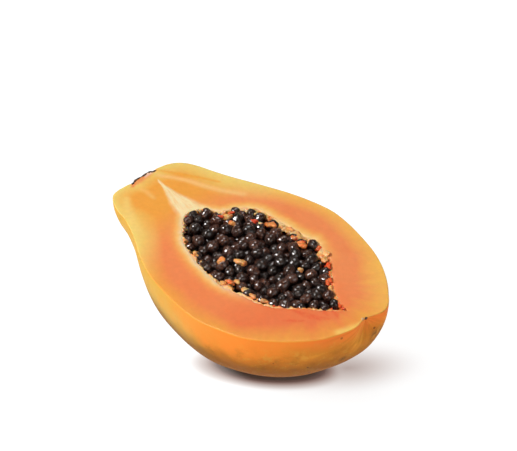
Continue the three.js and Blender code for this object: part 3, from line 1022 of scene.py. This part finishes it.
# Scraps of pulp: (from the stem, aside, above the cut), half length, width and height, heading, redness.
pulp = {
    "bits": [
        ((46.6, -7.4, 0.4), 2.0, 1.3, 1.4, 0.4, 0.92), ((49.0, 2.6, 0.6), 2.8, 1.5, 1.2, 0.5, 0.56),
        ((58.0, 3.9, 1.2), 2.2, 1.7, 1.5, 0.9, 0.92), ((60.6, 7.2, 0.8), 2.4, 2.0, 1.3, 0.9, 0.36),
        ((66.0, 5.0, 1.0), 2.6, 1.5, 1.2, 0.3, 0.5), ((58.4, 11.2, 0.3), 2.6, 1.0, 0.9, 0.9, 0.85),
        ((73.0, 14.4, 0.9), 2.2, 1.2, 1.1, 0.6, 0.9), ((76.2, 15.0, 1.0), 1.6, 1.1, 1.0, 0.6, 0.12),
        ((80.1, 18.2, 0.6), 3.2, 1.9, 1.3, 0.2, 0.55), ((85.0, 22.6, -0.6), 2.8, 1.6, 1.2, 0.4, 0.25),
        ((89.6, 22.8, -0.7), 2.8, 1.8, 1.3, 0.2, 0.3), ((93.4, 22.6, -0.5), 3.0, 2.1, 1.4, 0.1, 0.12),
        ((97.2, 22.2, -0.4), 3.4, 2.3, 1.4, 0.0, 0.4), ((95.4, 19.8, -0.2), 2.6, 1.5, 1.1, 0.3, 0.7),
        ((100.2, 19.6, 0.0), 2.4, 1.5, 1.1, 0.5, 0.8),
        ((102.8, 17.8, 0.8), 2.6, 1.8, 1.3, 0.5, 0.5), ((109.0, 23.2, -0.4), 2.6, 1.6, 1.2, 0.2, 0.85),
        ((114.2, 21.2, -0.4), 3.4, 2.0, 1.3, -0.3, 0.24), ((117.6, 18.6, -0.5), 2.4, 1.6, 1.1, -0.5, 0.4),
        ((122.5, 15.8, -0.1), 2.9, 1.8, 1.5, -0.7, 0.92),
        ((130.4, 7.6, -0.2), 2.3, 1.5, 1.3, -0.9, 0.86), ((134.6, 4.6, -0.1), 1.8, 1.1, 0.9, -0.6, 0.35),
        ((148.4, -2.3, -0.3), 1.2, 0.8, 0.7, 0.1, 1.0), ((159.4, -0.9, 0.05), 0.8, 0.6, 0.4, 0.9, 0.0),
        ((84.9, -20.6, 1.6), 1.9, 1.6, 1.3, 1.1, 0.3),
        ((93.0, -14.3, 2.1), 2.8, 2.2, 1.5, 0.5, 0.3), ((96.1, -29.9, 0.2), 2.6, 1.5, 1.0, 0.1, 0.3),
        ((98.6, -27.0, 0.8), 2.4, 1.6, 1.2, 0.3, 0.5), ((101.0, -24.6, 0.9), 2.0, 1.4, 1.1, 0.1, 0.25),
        ((108.6, -25.6, 0.3), 3.2, 1.5, 1.0, 0.1, 0.12), ((113.9, -26.1, 0.2), 2.4, 1.2, 0.9, 0.2, 0.3),
        ((70.6, -23.6, 0.5), 2.2, 1.6, 1.1, -0.8, 0.3), ((118.6, -24.9, 0.2), 2.8, 1.2, 0.9, 0.3, 0.42),
        ((127.4, -19.4, 0.0), 2.8, 1.2, 0.9, 0.5, 0.85), ((116.7, 1.9, 2.4), 1.7, 1.5, 1.3, 0.5, 0.3),
    ],
    "bitTilt": 0.3, "bitFineness": 3, "firstDraw": 5, "keyStep": 97, "keyStart": 11,
    "fringe": {"far": {"share": 0.66, "size": (0.6, 1.7), "over": (0.3, 2.6), "below": (0.4, 2.0)},
               "near": {"size": (0.4, 1.0), "over": (0.2, 2.0), "below": (0.1, 1.2)}},
    "fringeCount": 72, "clearAtStem": 4, "clearAtBlossom": 3,  # rows of the lip without a fringe
    "fringeCrowd": 2.0,  # above 1, more of the fringe is small
    "fringeTilt": 0.6, "fringeTurn": 6.3, "fringeLong": (1.0, 1.7), "fringeHigh": (0.5, 0.8),
    "fringeFineness": 2, "firstFringeKey": 50, "redBelow": 0.3, "redBelowSpan": (0.5, 1.5),
    "rough": 0.38, "roughSize": 1.6, "fineRough": 0.6, "finer": 2.3, "nextRough": 3.7, "nextFine": 2.9,
    "crumbs": {2: 1, 3: 3}, "scatter": 0.4, "crumbSize": (0.6, 0.9), "crumbAxis": (0.8, 1.2),
    "crumbShade": 0.26,
}
# The pulp is palest near the stem, and reddest near the blossom and on the far side.
redness = {
    "atStem": 0.06, "middle": 0.22, "leavingStem": (60, 92), "blossom": 0.35, "towardBlossom": (104, 130),
    "farSide": 0.26, "towardFar": (-4, 12), "spread": 0.6,
}


# One scrap: a clump of roughened crumbs, drawn out along its heading.
def addScrap(bm, layer, middle, halfAxes, turn, red, fineness, key):
    turnMatrix = turn.to_matrix()
    draws = seededDraws(key * pulp["keyStep"] + pulp["keyStart"])
    for _ in range(pulp["crumbs"][fineness]):
        spot = Vector(eitherWay(draws) * pulp["scatter"] * each for each in halfAxes)
        share = between(draws, *pulp["crumbSize"])
        crumbAxes = [share * each * between(draws, *pulp["crumbAxis"]) for each in halfAxes]
        shade = (next(draws) - 0.5) * pulp["crumbShade"]
        for vert in bmesh.ops.create_icosphere(bm, subdivisions=fineness, radius=1)["verts"]:
            way = vert.co.copy()
            shaped = spot + Vector(way[i] * crumbAxes[i] for i in range(3))
            ragged = noise.noise(shaped / pulp["roughSize"] + Vector((key * pulp["nextRough"], 0, 0)))
            finer = shaped * pulp["finer"] / pulp["roughSize"]
            ragged += pulp["fineRough"] * noise.noise(finer + Vector((0, key * pulp["nextFine"], 0)))
            shaped = spot + (shaped - spot) * (1 + pulp["rough"] * ragged)
            vert.co = middle + turnMatrix @ shaped * mm
            vert[layer] = min(max(red + shade, 0), 1)


def rednessAt(fromStem, aside, draw):
    leavingStem = smoothStep(*redness["leavingStem"], fromStem)
    red = blendOf(redness["atStem"], redness["middle"], leavingStem)
    red += redness["blossom"] * smoothStep(*redness["towardBlossom"], fromStem)
    red += redness["farSide"] * smoothStep(*redness["towardFar"], aside)
    return min(max(red + (draw - 0.5) * redness["spread"], 0), 1)


def makePulp(material):
    bm = bmesh.new()
    layer = bm.verts.layers.float.new("redness")
    draws = seededDraws(pulp["firstDraw"])
    tilt = pulp["bitTilt"]
    for key, (spot, length, width, height, heading, red) in enumerate(pulp["bits"]):
        turn = Euler((eitherWay(draws, tilt), eitherWay(draws, tilt), heading))
        addScrap(bm, layer, place(*spot), (length, width, height), turn, red, pulp["bitFineness"], key)
    rows = evenRows(cavity, body["rows"])
    tilt = pulp["fringeTilt"]
    span = pulp["clearAtStem"], body["rows"] - pulp["clearAtBlossom"]
    for key in range(pulp["fringeCount"]):
        row = rows[math.floor(between(draws, *span))]
        isFar = next(draws) < pulp["fringe"]["far"]["share"]
        edge = pulp["fringe"]["far" if isFar else "near"]
        lip = roundPoint(cavity, row, 1 if isFar else -1, 0.0)
        inward = (place(row[0], row[1]) - lip).normalized()
        size = blendOf(*edge["size"], next(draws) ** pulp["fringeCrowd"])
        below = between(draws, *edge["below"])
        middle = lip + inward * between(draws, *edge["over"]) * mm
        middle.z -= below * mm
        turn = Euler((eitherWay(draws, tilt), eitherWay(draws, tilt), next(draws) * pulp["fringeTurn"]))
        long = size * between(draws, *pulp["fringeLong"])
        high = size * between(draws, *pulp["fringeHigh"])
        red = rednessAt(row[0], row[1], next(draws))
        red += pulp["redBelow"] * smoothStep(*pulp["redBelowSpan"], below)
        addScrap(bm, layer, middle, (long, size, high), turn, min(red, 1), pulp["fringeFineness"],
                 key + pulp["firstFringeKey"])
    addPiece("papayaPulp", bm, [material])


# Torn membrane all round the cavity's lip, in and out over the seeds at its edge.
membrane = {
    "steps": 380, "across": 10, "tuck": 0.7, "thickness": 0.5, "smoothOver": 3,
    "reach": {"far": 1.7, "near": 1.2}, "rag": 3.0, "ragSize": 4.6, "tuft": 2.6, "tuftSize": 1.3,
    "tuftShift": (0, 0, 9), "most": 5.4, "narrow": 0.45,
    "start": -0.3, "rise": -0.02, "riseBy": 0.45, "fall": 1.5, "fallFrom": 0.5,
    "crumple": 0.4, "crumpleSize": 1.9, "crumpleOver": (0.1, 0.4), "shadeSize": 0.35,
    "wideCore": 0.3,
    "wide": [(96.0, 24.0, 6.5, 3.4), (84.0, 25.0, 4.5, 1.6), (115.0, 22.0, 4.5, 2.6),
             (99.0, -29.0, 6.0, 2.4), (110.0, -28.0, 5.0, 1.8), (60.0, 15.0, 6.0, 1.6),
             (72.0, -23.0, 5.0, 1.8)],
}


def makeMembrane(material):
    look = membrane
    bm = bmesh.new()
    around = 2 * look["steps"]
    bmesh.ops.create_grid(bm, x_segments=around, y_segments=look["across"], size=1)
    layer = bm.verts.layers.float.new("redness")
    rows = evenRows(cavity, look["steps"])
    places = [(rows[step], -1) for step in range(look["steps"])]
    places += [(rows[look["steps"] - step], 1) for step in range(look["steps"])]
    lips = [roundPoint(cavity, row, side, 0.0) for row, side in places]
    for vert in bm.verts:
        step = round((vert.co.x + 1) / 2 * around) % around
        share = (vert.co.y + 1) / 2
        (fromStem, aside, half, _), side = places[step]
        lip = lips[step]
        along = lips[(step + look["smoothOver"]) % around] - lips[step - look["smoothOver"]]
        inward = Vector((-along.y, along.x, 0)).normalized()
        reach = look["reach"]["far" if side > 0 else "near"]
        reach += look["rag"] * hills(lip, look["ragSize"])
        reach += look["tuft"] * hills(lip, look["tuftSize"], look["tuftShift"])
        for wideX, wideY, wideRadius, extra in look["wide"]:
            apart = (lip - place(wideX, wideY)).length / mm / wideRadius
            reach += extra * (1 - smoothStep(look["wideCore"], 1.0, apart))
        reach = min(max(reach, 0.0), look["most"], half * look["narrow"])
        point = lip + inward * blendOf(-look["tuck"], reach, share) * mm
        level = blendOf(look["start"], look["rise"], smoothStep(0, look["riseBy"], share))
        level -= look["fall"] * smoothStep(look["fallFrom"], 1.0, share)
        spot = point / (look["crumpleSize"] * mm)
        level += look["crumple"] * noise.noise(spot) * smoothStep(*look["crumpleOver"], share)
        vert.co = Vector((point.x, point.y, lip.z + level * mm))
        red = rednessAt(fromStem, aside, 0.5 + noise.noise(spot * look["shadeSize"]))
        vert[layer] = red * smoothStep(0.0, 0.5, share)
    closeUp(bm)
    thicken(bm, look["thickness"])
    addPiece("papayaMembrane", bm, [material])


pulpLook = {
    "ramp": [(0.0, (0.90, 0.52, 0.25)), (0.2, (0.89, 0.42, 0.15)), (0.45, (0.87, 0.28, 0.080)),
             (0.72, (0.84, 0.14, 0.035)), (1.0, (0.74, 0.055, 0.018))],
    "attributes": ("redness",),
    "waves": {"patch": (1.6, 2), "gloss": (0.9, 2), "grain": (0.6, 2)},
    "sums": {"shade": {"redness": 1.0, "patch": 0.55}},
    "relief": [("grain", 0.3, 0.2)],
    "roughness": (0.26, 0.48),
    "sockets": {"Subsurface Weight": 0.5, "Subsurface Radius": (1.0, 0.35, 0.12),
                "Subsurface Scale": 1.8 * mm, "Specular IOR Level": 0.3},
}


def pulpMaterial():
    material, tree, shader = newMaterial("papayaPulp")
    fields = fieldsOf(tree, pulpLook)
    finishShader(tree, shader, rampOf(tree, fields["shade"], pulpLook["ramp"]), fields, pulpLook)
    return material


pulpMade = pulpMaterial()
makePulp(pulpMade)
makeMembrane(pulpMade)

# The dry corky scar where the stem came off, cut through with the fruit.
scar = {
    "rows": 26, "sides": 40, "reach": 8.6, "proud": 0.30, "thickness": 1.15, "fruitRows": 900, "within": 4,
    "rough": 0.45, "roughSize": 1.9, "grain": 0.5, "grainSize": 0.5, "flatFrom": 0.85, "flat": 0.8,
    "overCut": 0.14, "overFrom": -2.5, "meetWithin": 1e-6,
}


def makeScar(material):
    look = scar
    bm = bmesh.new()
    bmesh.ops.create_grid(bm, x_segments=look["rows"], y_segments=look["sides"], size=1)
    rows = [row for row in evenRows(fruit, look["fruitRows"])
            if row[0] < look["within"] and row[2] <= look["reach"]]
    for vert in bm.verts:
        row = rows[round((vert.co.x + 1) / 2 * (len(rows) - 1))]
        angle = math.pi * (vert.co.y + 1) / 2
        point = roundPoint(fruit, row, math.cos(angle), -math.sin(angle))
        rough = hills(point, look["roughSize"]) + look["grain"] * hills(point, look["grainSize"])
        edge = 1 - look["flat"] * smoothStep(look["flatFrom"], 1.0, row[2] / look["reach"])
        point.x -= (look["proud"] + look["rough"] * rough) * edge * mm
        point.z += look["overCut"] * mm * smoothStep(look["overFrom"], 0, whereOnFruit(point)[2])
        vert.co = point
    closeUp(bm, look["meetWithin"])
    if sum(face.normal.x for face in bm.faces) > 0:
        bmesh.ops.reverse_faces(bm, faces=bm.faces)
    thicken(bm, look["thickness"])
    addPiece("papayaStemScar", bm, [material])


scarLook = {
    "dark": (0.020, 0.010, 0.006), "brown": (0.13, 0.065, 0.032), "grey": (0.30, 0.21, 0.14),
    "waves": {"patch": (2.2, 4, 0.65), "flake": (0.8, 3, 0.6), "cork": (0.7, 4, 0.7)},
    "washes": [("brown", 1.0, {"patch": (-0.12, 0.16)}), ("grey", 0.5, {"flake": (0.06, 0.22)})],
    "relief": [("cork", 0.7, 0.4)],
    "sockets": {"Roughness": 0.85},
}


def scarMaterial():
    material, tree, shader = newMaterial("papayaStemScar")
    fields = fieldsOf(tree, scarLook)
    color = washOver(tree, scarLook["dark"], fields, scarLook["washes"], scarLook)
    finishShader(tree, shader, color, fields, scarLook)
    return material


# What is left of the flower at the other end, a dry stub cut through as well.
nub = {
    "at": (159.7, 0.5, -0.35), "halfAxes": (0.62, 0.78, 0.5), "rough": 0.5, "roughSize": 0.8,
    "fineRough": 0.5, "finer": 2.6, "fineness": 4,
}


def makeNub(material):
    bm = bmesh.new()
    for vert in bmesh.ops.create_icosphere(bm, subdivisions=nub["fineness"], radius=1)["verts"]:
        shaped = Vector(vert.co[i] * nub["halfAxes"][i] for i in range(3))
        ragged = noise.noise(shaped / nub["roughSize"])
        ragged += nub["fineRough"] * noise.noise(shaped * nub["finer"] / nub["roughSize"])
        vert.co = place(*nub["at"]) + shaped * (1 + nub["rough"] * ragged) * mm
    addPiece("papayaBlossomNub", bm, [material])


corky = scarMaterial()
makeScar(corky)
makeNub(corky)
